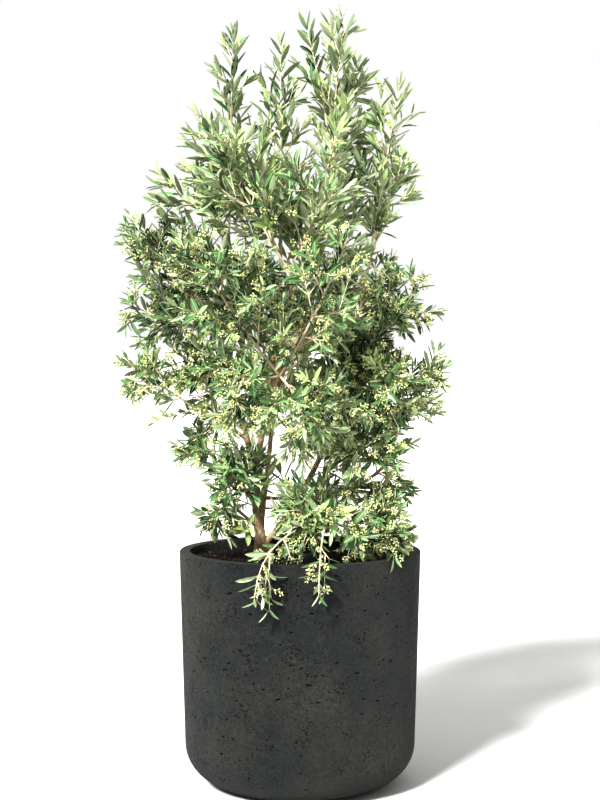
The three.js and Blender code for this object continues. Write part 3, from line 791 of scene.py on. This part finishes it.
# Each mass: its name, the limb it sets out from, its tip, and its shape. spread is how wide its
# space is to each side, droop turns its shoots down, fill is how closely they stand, buds is the
# share of its leaf pairs with flower buds, and at is its start along the limb if not at the tip.
masses = [
    ("top", "crown_bough", (358, 0.2, 1.0), {"spread": 92, "droop": -0.3, "buds": 0}),
    ("top_left", "crown_bough", (90, 0.02, 0.99),
     {"spread": 56, "droop": -0.3, "buds": 0, "fill": 0.6, "along": 0.2}),
    ("top_back", "crown_bough", (38, 0.42, 0.93), {"spread": 92, "droop": -0.3, "buds": 0}),
    ("left_spire", "left_riser", (177, 0.34, 0.97), {"spread": 70, "droop": -0.3, "buds": 0}),
    ("middle_spire", "centre_bough", (172, 0.1, 0.95),
     {"spread": 84, "droop": -0.3, "buds": 0, "fill": 0.85}),
    ("right_spire", "right_riser", (2, 0.53, 0.88), {"spread": 84, "droop": -0.3, "buds": 0}),
    ("upper_left", "left_riser", (183, 0.78, 0.705),
     {"spread": 96, "droop": -0.2, "buds": 0.1, "fill": 1.4}),
    ("upper_right", "right_riser", (352, 0.56, 0.74), {"spread": 84, "droop": -0.2, "buds": 0.1}),
    ("upper_front_left", "front_riser", (212, 0.64, 0.8),
     {"spread": 122, "droop": -0.2, "buds": 0.1, "fill": 0.8}),
    ("upper_front_right", "front_riser", (300, 0.52, 0.82),
     {"spread": 118, "droop": -0.2, "buds": 0.1, "fill": 0.75}),
    ("upper_back_left", "back_riser", (142, 0.64, 0.8),
     {"spread": 122, "droop": -0.2, "buds": 0.1, "fill": 0.8}),
    ("upper_back_right", "back_riser", (48, 0.62, 0.79),
     {"spread": 120, "droop": -0.2, "buds": 0.1, "fill": 0.8}),
    ("core", "centre_bough", (20, 0.12, 0.7), {"spread": 104, "droop": -0.2, "buds": 0, "fill": 0.8}),
    ("left_high", "left_bough", (182, 0.92, 0.645),
     {"spread": 110, "droop": -0.1, "buds": 0.15, "along": 0.65}),
    ("left", "left_bough", (184, 0.97, 0.47), {"spread": 112, "buds": 0.15, "fill": 1.3, "along": 0.65}),
    ("left_back", "left_bough", (148, 0.86, 0.54), {"spread": 130, "buds": 0.15, "along": 0.6}),
    ("front_left", "front_bough", (226, 0.84, 0.6), {"spread": 140, "fill": 0.95, "along": 0.65}),
    ("front_right", "front_bough", (290, 0.78, 0.6), {"spread": 140, "fill": 0.95, "along": 0.65}),
    ("right", "right_bough", (354, 0.68, 0.53), {"spread": 116, "along": 0.65}),
    ("right_low", "right_bough", (345, 0.5, 0.46), {"at": 0.6, "spread": 116, "fill": 1.7, "along": 0.5}),
    ("back_right", "back_bough", (45, 0.78, 0.56), {"spread": 136, "fill": 0.85, "along": 0.65}),
    ("back_left", "back_bough", (112, 0.8, 0.56), {"spread": 136, "fill": 1.2, "along": 0.65}),
    ("left_arm", "left_arm", (186, 1.0, 0.37), {"spread": 86, "droop": 0.05, "fill": 1.5, "bow": 0.03}),
    ("left_under", "left_bough", (190, 0.72, 0.4), {"at": 0.5, "spread": 116, "fill": 1.5, "along": 0.6}),
    ("lower_left", "lower_left_bough", (183, 0.66, 0.235), {"spread": 114, "droop": 0.1, "fill": 1.9}),
    ("lower_front_left", "front_bough", (234, 0.76, 0.3), {"spread": 140, "fill": 1.4, "bow": 0.05}),
    ("lower_front", "front_bough", (281, 0.74, 0.22),
     {"spread": 146, "droop": 0.1, "buds": 0.3, "fill": 1.5, "bow": 0.05}),
    ("lower_right", "far_right_bough", (356, 0.76, 0.4), {"spread": 80, "fill": 1.4, "along": 0.35}),
    ("lower_right_front", "right_bough", (322, 0.66, 0.22),
     {"spread": 136, "droop": 0.1, "buds": 0.3, "fill": 1.5, "bow": 0.08}),
    ("lower_back", "back_bough", (85, 0.78, 0.3), {"spread": 140, "droop": 0.1, "fill": 1.3, "bow": 0.05}),
    ("right_skirt", "far_right_bough", (350, 0.46, 0.08),
     {"spread": 88, "droop": 0.1, "fill": 1.4, "bow": 0.12}),
    ("front_skirt", "far_right_bough", (287, 0.5, 0.2),
     {"spread": 116, "buds": 0.3, "fill": 1.5, "bow": 0.08}),
    ("low_left", "low_left_bough", (200, 0.54, 0.055), {"spread": 96, "droop": 0.1, "fill": 2, "bow": 0.1}),
    ("low_right", "low_right_bough", (325, 0.76, 0.04),
     {"spread": 120, "droop": 0.05, "buds": 0.4, "fill": 1.7, "bow": 0.12}),
    ("low_front", "low_right_bough", (258, 0.55, 0.1),
     {"spread": 110, "buds": 0.3, "fill": 1.9, "bow": 0.14}),
    ("spray_left", "low_right_bough", (253, 0.74, -0.065),
     {"spread": 76, "droop": 0.4, "buds": 0.4, "fill": 1.4, "bow": 0.26, "along": 1.08}),
    ("spray_right", "low_right_bough", (277, 0.74, -0.06),
     {"spread": 76, "droop": 0.4, "buds": 0.4, "fill": 1.4, "bow": 0.3, "along": 1.12}),
    ("low_back", "low_back_bough", (70, 0.68, 0.045),
     {"spread": 124, "droop": 0.15, "fill": 1.5, "bow": 0.12}),
    ("by_trunk", "trunk", (207, 0.48, 0.19),
     {"at": 0.62, "spread": 112, "buds": 0.1, "fill": 1.6, "bow": 0.05}),
]
leaf_length = 60
# The solids' leaves and the gap between their twigs are coarser, and a twig with the leaf on its
# end reaches this far.
solid_leaf_length, solid_node_gap, solid_twig_reach = 112, 74, 240
# Shoots with a droop below the first value point up, and those above the second hang.
upright_below, hanging_above = -0.15, 0.3
between_reach, finer_reach, longest_finer, shortest_shoot = 200, 150, 85, 16
limb_shoot_gap, quarter_turn, full_turn = 26, 1.57, 6.28
starts, tips, spreads = [], [], []
for _, limb, end, shape in masses:
    starts.append(on_limb(limbs[limb][0], shape.get("at", 1)))
    tips.append(place(*end))
    spreads.append(shape["spread"])
starts, tips, spreads = np.array(starts), np.array(tips), np.array(spreads)
middles = starts + (tips - starts) * 0.53
halves = np.linalg.norm(tips - middles, axis=1)
axes = (tips - middles) / halves[:, None]


def depths(point):
    """How deep a point lies in each mass's space: 0 at its middle, 1 at its surface."""
    away = point - middles
    along = (away * axes).sum(axis=1)
    aside = np.maximum(0, (away * away).sum(axis=1) - along * along)
    return np.sqrt((along / halves) ** 2 + aside / spreads**2)


def owned(index, point, edge=1.12):
    """True where a mass may grow: in its own space, and not deep in another's."""
    depth = depths(point)
    own = depth[index]
    depth[index] = 99
    return own < edge and own < depth.min() + 0.55


def clear_of_pot(point):
    """True over the soil, over the rim, and outside the pot's side."""
    reach = math.hypot(point[0], point[1])
    if reach < inner_lip - 2:
        return point[2] > soil_top + 3
    return reach > pot_radius + 3 or point[2] > pot_top + 2


def room_along(index, start, way, most):
    """How far a straight shoot can go before it leaves its mass's space, tried in short steps."""
    room, step = 0, 6
    while room < most and depths(start + way * (room + step))[index] < 1.06:
        room += step
    return room


def unit(vector):
    """The same direction with a length of 1."""
    return vector / math.sqrt(vector.dot(vector))


def leaning(way, turn, angle):
    """A direction that leans off the way by an angle, at a turn about it."""
    side = unit(np.cross(up, way) if abs(way[2]) < 0.9 else np.cross((1.0, 0, 0), way))
    side = side * math.cos(turn) + np.cross(way, side) * math.sin(turn)
    return way * math.cos(angle) + side * math.sin(angle)


def grow_twigs(index):
    """The shoots of one mass, the leader first. The twigs of the first loop start where the
    solids' twigs do and set out the same way, and the others stand between them."""
    _, limb, _, shape = masses[index]
    droop, fill = shape.get("droop", 0), shape.get("fill", 1)
    draw, fine = seeded(7300 + 17 * index), seeded(91000 + 31 * index)
    way = arc(starts[index], tips[index], shape.get("bow", 0), shape.get("along", 0.5))
    path = np.array([way(t) for t in np.linspace(0, 1, 25)])
    run = run_of(path)
    full = run[-1]

    def at(far):
        """The place this far along the leader."""
        return np.array([np.interp(far, run, path[:, k]) for k in range(3)])

    def heading(far):
        """The way the leader runs there."""
        return unit(at(min(far + 4, full)) - at(max(far - 4, 0)))

    upright = droop < upright_below
    solid_end = full * max(0.45, 1 - 0.8 * solid_leaf_length / full)
    tip_leaf = 0.62 * leaf_length
    end = full - tip_leaf
    leader_turn = draw() * math.pi
    bases = []
    nodes = max(2, math.floor(0.86 * solid_end * fill / solid_node_gap + 0.5))
    for k in range(nodes):
        far = solid_end * (0.12 + 0.8 * (k + 0.5) / nodes)
        for side in (0, 1):
            turn = k * quarter_turn + side * math.pi + (draw() - 0.5) * 0.9
            lean = math.radians(52 + (draw() - 0.5) * 24)
            out = unit(leaning(heading(far), turn, lean) - up * 0.8 * droop)
            share, spin, _ = draw(), draw() * math.pi, draw()
            room = room_along(index, at(far), out, solid_twig_reach)
            bases.append((at(far), out, (room - tip_leaf) * (0.85 + 0.15 * share), spin))
    between = max(1, round(end * fill / (76 if upright else 56)))
    for k in range(between):
        far = end * (0.08 + 0.88 * (k + 0.5) / between)
        for side in (0, 1):
            turn = 0.8 + k * quarter_turn + side * math.pi + (fine() - 0.5) * 1.2
            lean = math.radians(48 + (fine() - 0.5) * 26)
            out = unit(leaning(heading(far), turn, lean) - up * 0.7 * droop)
            room = room_along(index, at(far), out, between_reach)
            length = (room - tip_leaf) * (0.3 + 0.65 * fine())
            if fine() < (0.75 if droop < hanging_above else 0.2):
                bases.append((at(far), out, length, fine() * math.pi))
    leader = np.array([at(far) for far in np.linspace(0, end, 10)])
    thick = 3 if "at" in shape else limbs[limb][1]
    shoots = [(leader, (thick, 1.0), leader_turn, 0.55, index)]
    for base, out, length, spin in bases:
        if length < shortest_shoot:
            continue
        bend = -droop * 0.22 + (fine() - 0.5) * 0.16
        sway = leaning(out, fine() * full_turn, math.pi / 2) * 0.05
        share = np.linspace(0, 1, 6)[:, None]
        points = base + out * length * share + (up * bend + sway) * length * share**2
        if not (owned(index, points[-1]) and clear_of_pot(points[-1]) and clear_of_pot(points[3])):
            continue
        shoots.append((points, (1.9, 0.9), spin, 0.2 if upright else 0.34, index))
        forward = unit(points[-1] - points[0])
        pairs = int(length / (76 if upright else 42) + 0.5)
        for j in range(pairs):
            root = points[0] + (points[-1] - points[0]) * (0.2 + 0.6 * (j + 0.5) / pairs)
            for side in (0, 1):
                turn = spin + 0.9 + j * quarter_turn + side * math.pi + (fine() - 0.5)
                lean = math.radians(46 + (fine() - 0.5) * 20)
                out2 = unit(leaning(forward, turn, lean) - up * 0.5 * droop)
                room = room_along(index, root, out2, finer_reach)
                part = (room - 0.6 * leaf_length) * (0.4 + 0.6 * fine())
                length2 = min(part, longest_finer)
                if length2 < shortest_shoot or fine() < 0.35:
                    continue
                share = np.linspace(0, 1, 4)[:, None]
                finer = root + out2 * length2 * share + up * bend * 0.6 * length2 * share**2
                if owned(index, finer[-1]) and clear_of_pot(finer[-1]):
                    shoots.append((finer, (1.2, 0.7), fine() * math.pi, 0.1, index))
    return shoots


def limb_twigs(number, points):
    """Shoots that stand in pairs along a bough itself, in whichever mass's space they reach."""
    fine = seeded(5200 + 13 * number)
    run = run_of(points)
    found = []
    pairs = int(run[-1] * 0.8 / limb_shoot_gap)
    for k in range(pairs):
        far = run[-1] * (0.18 + 0.8 * (k + fine()) / pairs)
        root = np.array([np.interp(far, run, points[:, c]) for c in range(3)])
        ahead = unit(points[-1] - root) if far < run[-1] - 2 else unit(points[-1] - points[-2])
        for side in (0, math.pi):
            turn = k * quarter_turn + side + fine() - 0.5
            out = leaning(ahead, turn, math.radians(42 + 24 * fine()))
            length, bend = 40 + 95 * fine(), 0.24 * (fine() - 0.35)
            share = np.linspace(0, 1, 6)[:, None]
            shoot = root + out * length * share + up * bend * length * share**2
            depth = depths(shoot[-1])
            index = int(depth.argmin())
            hanging = masses[index][3].get("droop", 0) > hanging_above
            if fine() < 0.85 and depth[index] < 1.2 and clear_of_pot(shoot[-1]) and not hanging:
                found.append((shoot, (1.7, 0.8), fine() * math.pi, 0.35, index))
    return found


# The crown in five zones, told by how high a mass's tip is, as a share of the tree's height.
zones, zone_floors = ("upper", "high", "middle", "lower", "skirt"), (0.65, 0.55, 0.42, 0.21)


def zone_of(index):
    """The zone that a mass is in."""
    tip_height = masses[index][2][2]
    return zones[sum(tip_height <= floor_height for floor_height in zone_floors)]


def nodes_in(zone):
    """The CAD nodes that a zone's pieces stand in for."""
    return ["foliage_" + masses[i][0] for i in range(len(masses)) if zone_of(i) == zone]


shoots = [shoot for index in range(len(masses)) for shoot in grow_twigs(index)]
for number, (points, _) in enumerate(limbs.values()):
    shoots += limb_twigs(number, points)
# Last year's shoots have a thin smooth bark, dull and buff. This year's are still green under a
# bloom of pale down, a little smoother, and catch more light.
woody_shoot, _ = new_finish("buff one-year shoot", "#d6c9b2", 0.75)
green_shoot, _ = new_finish("young green-buff shoot", "#ddd6bd", 0.6)
woody_radius, ring_gap, shoot_corners = 1.75, 11, 6
for zone in zones:
    parts, choice = [], []
    for points, (thick, thin), _, _, index in shoots:
        if zone_of(index) != zone:
            continue
        points = evenly(points, ring_gap)
        radii = np.linspace(thick, thin, len(points))
        parts.append(tube(points, radii, shoot_corners))
        choice.append(0 if thick > woody_radius else 1)
    points, (sides, caps) = gather(parts)
    kinds = [np.repeat(choice, [len(part[1]) for part in parts]), np.repeat(choice, 2)]
    twigs = mesh_piece(
        zone + "_twigs",
        points * MM,
        [sides, caps],
        [woody_shoot, green_shoot],
        np.concatenate(kinds),
    )
    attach(twigs, "root")
    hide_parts(*nodes_in(zone))

# ---- Leaves --------------------------------------------------------------------------------
# Olive leaves stand in opposite pairs, each pair square to the last. They are leathery lances:
# grey-green and lightly glossed above with a pale midrib, silvery sage and matte below. Those of
# the top shoots are longer, lighter and point up. Leaves deeper in a mass are painted darker, with
# darker undersides and midribs: painted shade for the inside of the crown.

# A blade is drawn by its breadth, beside the widest, at five shares of its length.
stations = np.array((0, 0.12, 0.34, 0.62, 0.87))
breadth = np.array((0.09, 0.42, 0.92, 0.98, 0.58))
# The top of a leaf has a thick smooth skin that gives a soft sheen, and comes in six greens. The
# darkest ones go mostly to leaves deep in a mass, as painted shade.
uppers = [
    new_finish(name, colour, 0.4, IOR=1.45, Specular_IOR_Level=0.5)[0]
    for name, colour in [
        ("leaf top, young yellow-green", "#a6b680"),
        ("leaf top, light green", "#97ac86"),
        ("leaf top, grey-green", "#7d9a72"),
        ("leaf top, full green", "#61835d"),
        ("leaf top, deep green", "#3a583f"),
        ("leaf top, shaded blue-green", "#172a20"),
    ]
]
# Its underside is felted with tiny scales, so it is dull and silvery. Leaves painted darker take a
# darker one: painted shade.
unders = [
    new_finish(name, colour, 0.8)[0]
    for name, colour in [
        ("leaf underside, pale sage", "#c4c9b0"),
        ("leaf underside, silver green", "#b0b89b"),
        ("leaf underside, olive sage", "#8b9778"),
    ]
]
# The midrib is bare and pale, and shows as a thin light line. Leaves painted darker take the green
# one: painted shade.
midribs = [
    new_finish(name, colour, 0.6)[0]
    for name, colour in [("midrib, pale green", "#cdd7a8"), ("midrib, green", "#9fb078")]
]
# Each shoot starts from one of these greens, by its zone, and its leaves go darker from there, the
# more deeply they lie in their mass: painted shade.
tints_by_zone = {
    "upper": (0, 0, 0, 0, 1, 1, 2, 3),
    "high": (0, 1, 1, 1, 2, 2, 3, 3),
    "middle": (0, 0, 1, 1, 1, 2, 2, 3),
    "lower": (0, 0, 1, 1, 1, 1, 2, 3),
    "skirt": (0, 0, 1, 1, 1, 1, 2, 3),
}
# The gap between leaf pairs and the size of leaves beside leaf_length, on shoots that point up, on
# those of the skirt, on those that hang, and on the others.
upright_pairs, skirt_pairs, hanging_pairs, other_pairs = (20, 0.9), (17, 0.78), (25, 0.78), (14.5, 0.66)
# The tip pair is the smallest and leans least, in degrees, and so on to the fourth.
size_from_tip, lean_from_tip = (0.6, 0.8, 0.95, 1.0), (16, 28, 36, 42)
# How much darker leaves are painted towards the middle of a mass: painted shade for the inside of
# the crown.
upright_shade, inner_shade, other_shade = 1.6, 4.4, 3
left_out, darkest = 0.08, len(uppers) - 1
draw = seeded(2024)
leaf_pairs, leaves = [], []
for points, _, spin, bare, index in shoots:
    droop, zone = masses[index][3].get("droop", 0), zone_of(index)
    upright, hanging = droop < upright_below, droop > hanging_above
    tint = tints_by_zone[zone][int(draw() * 8)]
    if upright:
        (gap, scale), extra_lean, painted_shade_rate = upright_pairs, 0, upright_shade
    elif hanging:
        (gap, scale), extra_lean, painted_shade_rate = hanging_pairs, 26, other_shade
        tint = max(tint, 2)
    else:
        gap, scale = skirt_pairs if zone == "skirt" else other_pairs
        extra_lean, painted_shade_rate = 8, other_shade
    if not upright and zone in ("high", "middle"):
        painted_shade_rate = inner_shade
    run = run_of(points)
    far, k = run[-1] - 0.5, 0
    while far > max(bare * run[-1], 8):
        root, behind = [
            np.array([np.interp(f, run, points[:, c]) for c in range(3)])
            for f in (far, max(far - 6, 0))
        ]
        ahead = unit(root - behind)
        depth = depths(root)[index]
        leaf_pairs.append((root, ahead, k, spin + k * quarter_turn, index))
        size = size_from_tip[min(k, 3)] * (0.75 + 0.45 * draw()) * scale
        lean = lean_from_tip[min(k, 3)] + (draw() - 0.5) * 24 + extra_lean
        for side in (0, math.pi):
            turn = spin + k * quarter_turn + side + (draw() - 0.5) * 0.9
            out = leaning(ahead, turn, math.radians(lean + (draw() - 0.5) * 10))
            out = unit(out - up * 0.25 * max(droop, -0.1) * draw())
            face = unit(ahead - out * ahead.dot(out))
            lifted = face + up * (0.2 if upright else 0.7) * draw()
            face = unit(lifted - out * lifted.dot(out))
            length = leaf_length * size * (0.9 + 0.2 * draw())
            if draw() < left_out or not all(
                owned(index, root + out * length * share, edge)
                and clear_of_pot(root + out * length * share)
                for share, edge in ((1, 1.24), (0.5, 1.16))
            ):
                continue
            # Deeper in the mass a leaf is painted darker, with a random spread: painted shade.
            spread_and_painted_shade = painted_shade_rate * (0.92 - depth) + draw() * 2.4 - 1.3
            shade = min(darkest, max(0, round(tint + spread_and_painted_shade - (k < 2 and upright))))
            slender = (0.19 if upright else 0.22) + 0.06 * draw()
            shape_of = (slender, -0.1 + 0.3 * draw(), (draw() - 0.5) * 1.1)
            # A leaf off an upright shoot that is painted darker takes a darker underside: painted shade.
            below = min(2, int(draw() * 3) + (not upright and shade > 1))
            leaves.append((root, out, face, length, shape_of, shade, below, index))
        k += 1
        far -= gap * (0.85 + 0.3 * draw()) * (0.85 if k < 3 else 1)

# Each blade is closed: at every station it has its two edges, two points by the midrib and one
# below, and it ends in a point. It curls and twists along its length and folds up at its edges.
corners, fold_share, first_under, first_midrib = 5, 0.32, len(uppers), len(uppers) + len(unders)
for zone in zones:
    chosen = [one for one in leaves if zone_of(one[7]) == zone]
    root, way, face = (np.array([one[k] for one in chosen])[:, None] for k in range(3))
    length = np.array([one[3] for one in chosen])[:, None, None]
    slender, curl, twist = np.array([one[4] for one in chosen]).T[:, :, None, None]
    side = np.cross(face, way)
    t = stations[None, :, None]
    middle = root + way * length * t - face * curl * length * t**2
    square = face + way * 2 * curl * t
    square /= np.linalg.norm(square, axis=2)[..., None]
    turned = side * np.cos(twist * t) + square * np.sin(twist * t)
    square = square * np.cos(twist * t) - side * np.sin(twist * t)
    half = length * slender * breadth[None, :, None] / 2
    rib = (0.75 - 0.45 * t) * np.ones_like(half)
    fold = fold_share * half
    rings = np.stack(
        [
            middle + turned * half + square * fold,
            middle + turned * rib + square * 0.05,
            middle - turned * rib + square * 0.05,
            middle - turned * half + square * fold,
            middle - square * (0.75 - 0.4 * t),
        ],
        axis=2,
    )
    tip = root + way * length - face * curl * length
    count, steps = len(chosen), len(stations)
    points = np.concatenate([rings.reshape(count, -1, 3), tip], axis=1)
    first = np.arange(count)[:, None, None] * (corners * steps + 1)
    spot = np.arange(corners * steps).reshape(steps, corners)
    ahead = np.roll(spot, -1, axis=1)
    strips = np.stack([spot[:-1], ahead[:-1], ahead[1:], spot[1:]], axis=-1).reshape(1, -1, 4)
    ends = np.stack([spot[-1], ahead[-1], np.full(corners, corners * steps)], axis=-1)[None]
    stub = spot[0][::-1].reshape(1, 1, corners)
    shade = np.array([one[5] for one in chosen])[:, None]
    under = np.array([one[6] for one in chosen])[:, None] + first_under
    # Leaves painted darker take the green midrib: painted shade.
    ribbed = first_midrib + (shade >= 3)
    five = np.concatenate([shade, ribbed, shade, under, under], axis=1)
    leaf_piece = mesh_piece(
        zone + "_leaves",
        points.reshape(-1, 3) * MM,
        [
            (strips + first).reshape(-1, 4),
            (ends + first).reshape(-1, 3),
            (stub + first).reshape(-1, corners),
        ],
        uppers + unders + midribs,
        np.concatenate([np.tile(five, (1, steps - 1)).ravel(), five.ravel(), under.ravel()]),
    )
    leaf_piece.select_set(True)
    bpy.context.view_layer.objects.active = leaf_piece
    bpy.ops.object.shade_smooth_by_angle(angle=math.radians(55))
    bpy.ops.object.select_all(action="DESELECT")
    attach(leaf_piece, "root")
    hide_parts(*nodes_in(zone))

# ---- Flower buds ---------------------------------------------------------------------------
# Short sprays of small round buds, not yet open, stand in the corners between leaf and shoot.
# Each has a thin stalk with side stalks in pairs, which bear one or two waxy yellow-green buds.

# A bud's skin is smooth and waxy, so it is bright with a soft sheen, and some have paled to cream.
# Its stalk is duller and greener.
bud_wax, _ = new_finish("waxy bud, yellow-green", "#d3d598", 0.5)
bud_pale, _ = new_finish("waxy bud, cream-green", "#e3e4c0", 0.5)
bud_stalk, _ = new_finish("bud stalk", "#c6cb9e", 0.6)
bud_kinds, stalk_kind = 2, 2
spray_length, bud_stand_off = 30.0, 1.2
# A bud is a bead of ten faces, a waist of five points and two poles, since there are thousands.
waist = [(math.cos(k * math.tau / 5), math.sin(k * math.tau / 5), -0.1) for k in range(5)]
bud_points = 1.12 * np.array(waist + [(0, 0, 1), (0, 0, -0.95)])
upper_faces = [(k, (k + 1) % 5, 5) for k in range(5)]
lower_faces = [((k + 1) % 5, k, 6) for k in range(5)]
bud_faces = np.array(upper_faces + lower_faces)


def thin_stalk(start, end, radius):
    """A three-sided stalk. Its ends stay open where they meet a shoot, another stalk or a bud."""
    points, sides, _ = tube(np.array([start, end]), [radius, radius * 0.8], 3)
    return points, np.concatenate([sides[:, [0, 1, 2]], sides[:, [0, 2, 3]]])


def bud_spray(seed):
    """One spray along +Z: its points, its faces and each face's finish."""
    draw = seeded(seed)
    parts, kinds = [], []

    def add(points, faces, kind):
        parts.append((points, faces))
        kinds.extend([kind] * len(faces))

    def add_bud(spot, way):
        spin = np.array(Vector(way).to_track_quat("Z", "Y").to_matrix())
        size = 1.4 + 0.6 * draw()
        bead = (bud_points * (size, size, size * 1.25)) @ spin.T + spot
        add(bead, bud_faces, int(draw() * bud_kinds))

    bend = np.array(((draw() - 0.5) * 8, (draw() - 0.5) * 8, 0))

    def line(t):
        return np.array((0, 0, spray_length * t)) + bend * t * t

    add(*thin_stalk(line(0), line(0.55), 0.55), stalk_kind)
    add(*thin_stalk(line(0.55), line(1), 0.45), stalk_kind)
    side_stalks = [(0.3, 8.5), (0.5, 7), (0.68, 5.5), (0.84, 4)]
    for k, (share, stalk_length) in enumerate(side_stalks):
        for side in (0, math.pi):
            turn = k * quarter_turn + side + (draw() - 0.5) * 0.6
            way = unit(np.array((math.cos(turn), math.sin(turn), 0.55 + 0.3 * draw())))
            length = stalk_length * (0.8 + 0.4 * draw())
            end = line(share) + way * length
            add(*thin_stalk(line(share), end, 0.4), stalk_kind)
            add_bud(end + way * bud_stand_off, way)
            if k < 3 or draw() < 0.4:
                aside = leaning(way, draw() * full_turn, 1.4)
                add_bud(line(share) + way * length * 0.72 + aside * 2.1, aside)
    add_bud(line(1) + (0, 0, bud_stand_off), (0, 0, 1))
    points, (faces,) = gather(parts)
    return points, faces, kinds


# Sprays stand on both sides of a shoot at its leaf pairs, more of them low in the crown.
sprays = [bud_spray(seed) for seed in (11, 12, 13, 14)]
usual_share, more_buds, other_zones = 0.25, {"skirt": 1.9, "lower": 1.6}, 1.2
draw = seeded(3117)
placed = {zone: [] for zone in zones}
for root, ahead, k, turn, index in leaf_pairs:
    share, zone = masses[index][3].get("buds", usual_share), zone_of(index)
    for side in (0, math.pi):
        if k == 0 or draw() > share * more_buds.get(zone, other_zones):
            continue
        out = leaning(ahead, turn + side + 0.5, math.radians(40 + 20 * draw()))
        size = 0.75 + 0.4 * draw()
        tip, halfway = root + out * 31 * size, root + out * 16
        if owned(index, tip, 1.2) and clear_of_pot(tip) and clear_of_pot(halfway):
            spin = np.array(Vector(out).to_track_quat("Z", "Y").to_matrix())
            placed[zone].append((int(draw() * len(sprays)), spin * size * MM, root * MM))
spray_shapes = [(points, faces) for points, faces, _ in sprays]
for zone, turns in placed.items():
    points, faces = scatter(spray_shapes, turns)
    kinds = np.concatenate([sprays[which][2] for which, _, _ in turns])
    buds = mesh_piece(
        zone + "_flower_buds", points, [faces], [bud_wax, bud_pale, bud_stalk], kinds
    )
    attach(buds, "root")
    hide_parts(*nodes_in(zone))
